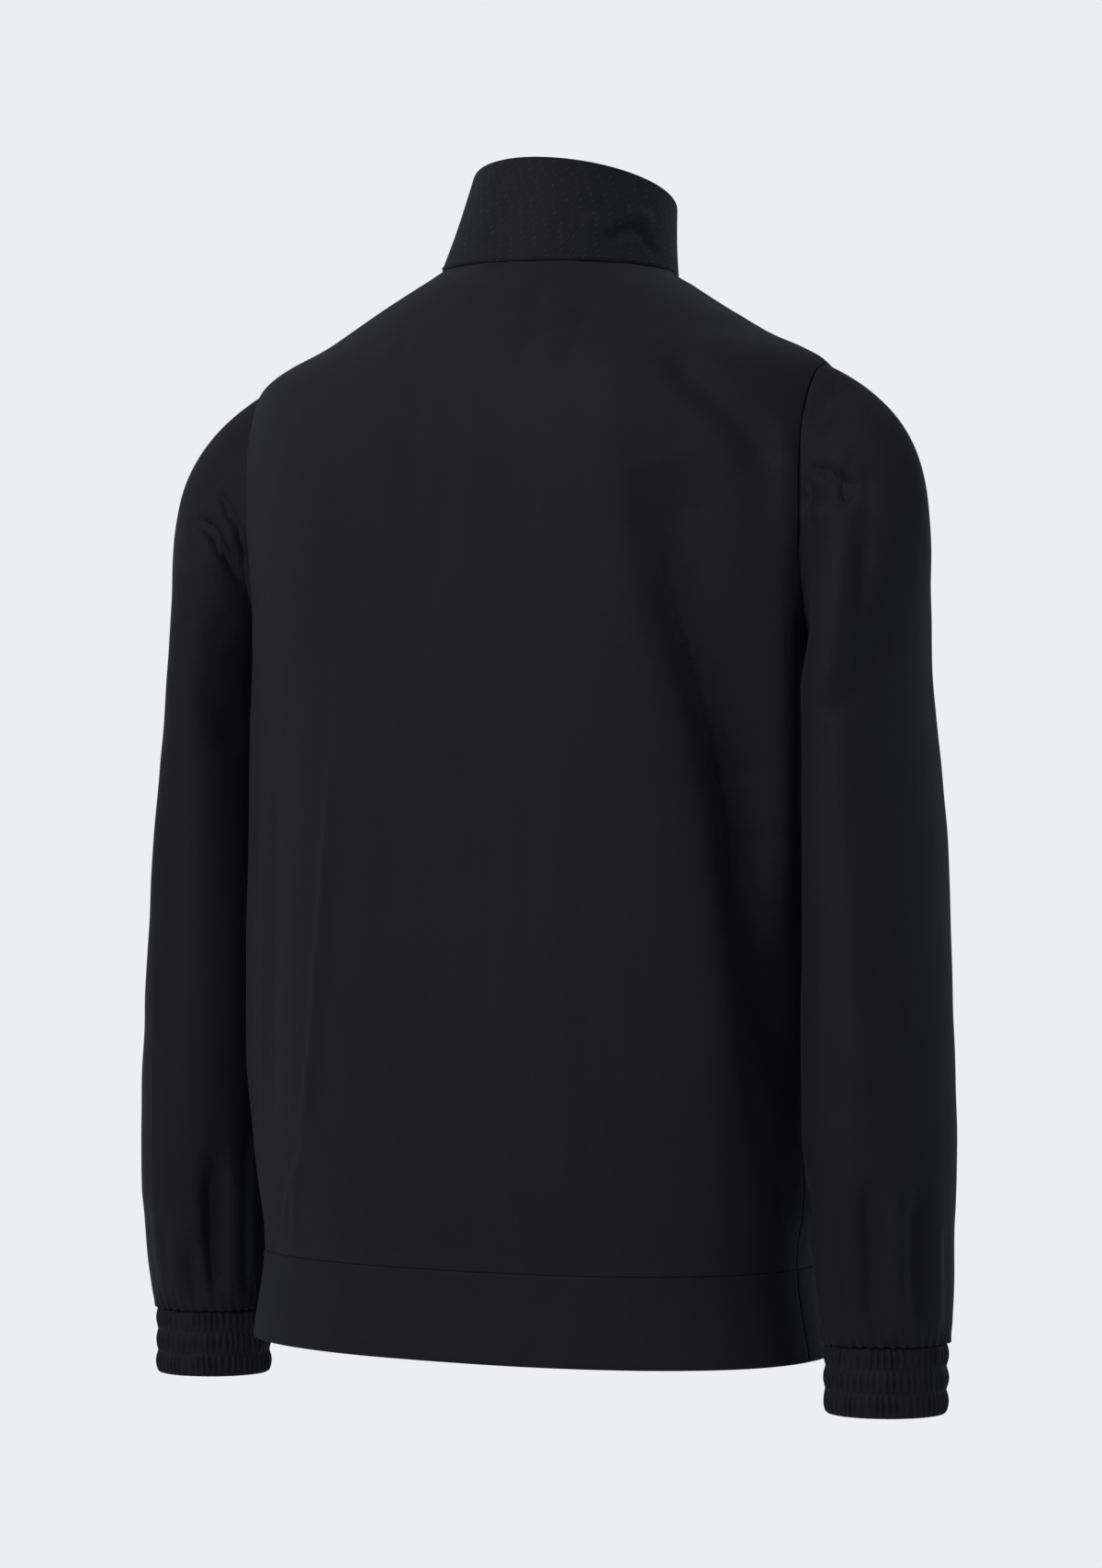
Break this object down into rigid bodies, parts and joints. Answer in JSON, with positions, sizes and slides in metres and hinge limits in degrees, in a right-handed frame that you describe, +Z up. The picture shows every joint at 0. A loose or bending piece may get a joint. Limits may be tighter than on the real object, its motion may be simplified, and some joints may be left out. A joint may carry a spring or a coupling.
{
  "type": "rain jacket",
  "caption": "Rain jacket with a stand collar, full front zip, set-in sleeves, gathered elastic cuffs and a wide hem band, hollow and open as it is when worn.",
  "frame": {"origin": "the middle of the neck seam, where the wearer's neck holds the jacket", "axes": "+X is the wearer's left, -Y is the way the wearer faces, +Z is up"},
  "size_m": [0.6044, 0.2524, 0.8015],
  "materials": {
    "shell": "matte plain-woven cloth, black",
    "collar_knit": "matte knit with rows of small raised stitches, black",
    "zip_tape": "matte woven tape, black",
    "zip_hardware": "satin black paint"
  },
  "bodies": {
    "jacket": {"back": "shell", "front_left": "shell", "front_right": "shell", "sleeve_left": "shell", "sleeve_right": "shell", "cuff_left": "shell", "cuff_right": "shell", "hem_band_back": "shell", "hem_band_left": "shell", "hem_band_right": "shell", "collar": "collar_knit", "zip_tape_left": "zip_tape", "zip_tape_right": "zip_tape", "zip_box": "zip_hardware", "zip_slider": "zip_hardware"},
    "pull": {"zip_pull": "zip_hardware"}
  },
  "joints": [
    {"name": "pull_hinge", "type": "hinge", "parent": "jacket", "child": "pull", "pos_m": [0, -0.08788, 0.02738], "axis": [-1, 0, 0], "range_deg": [-8, 170]}
  ]
}
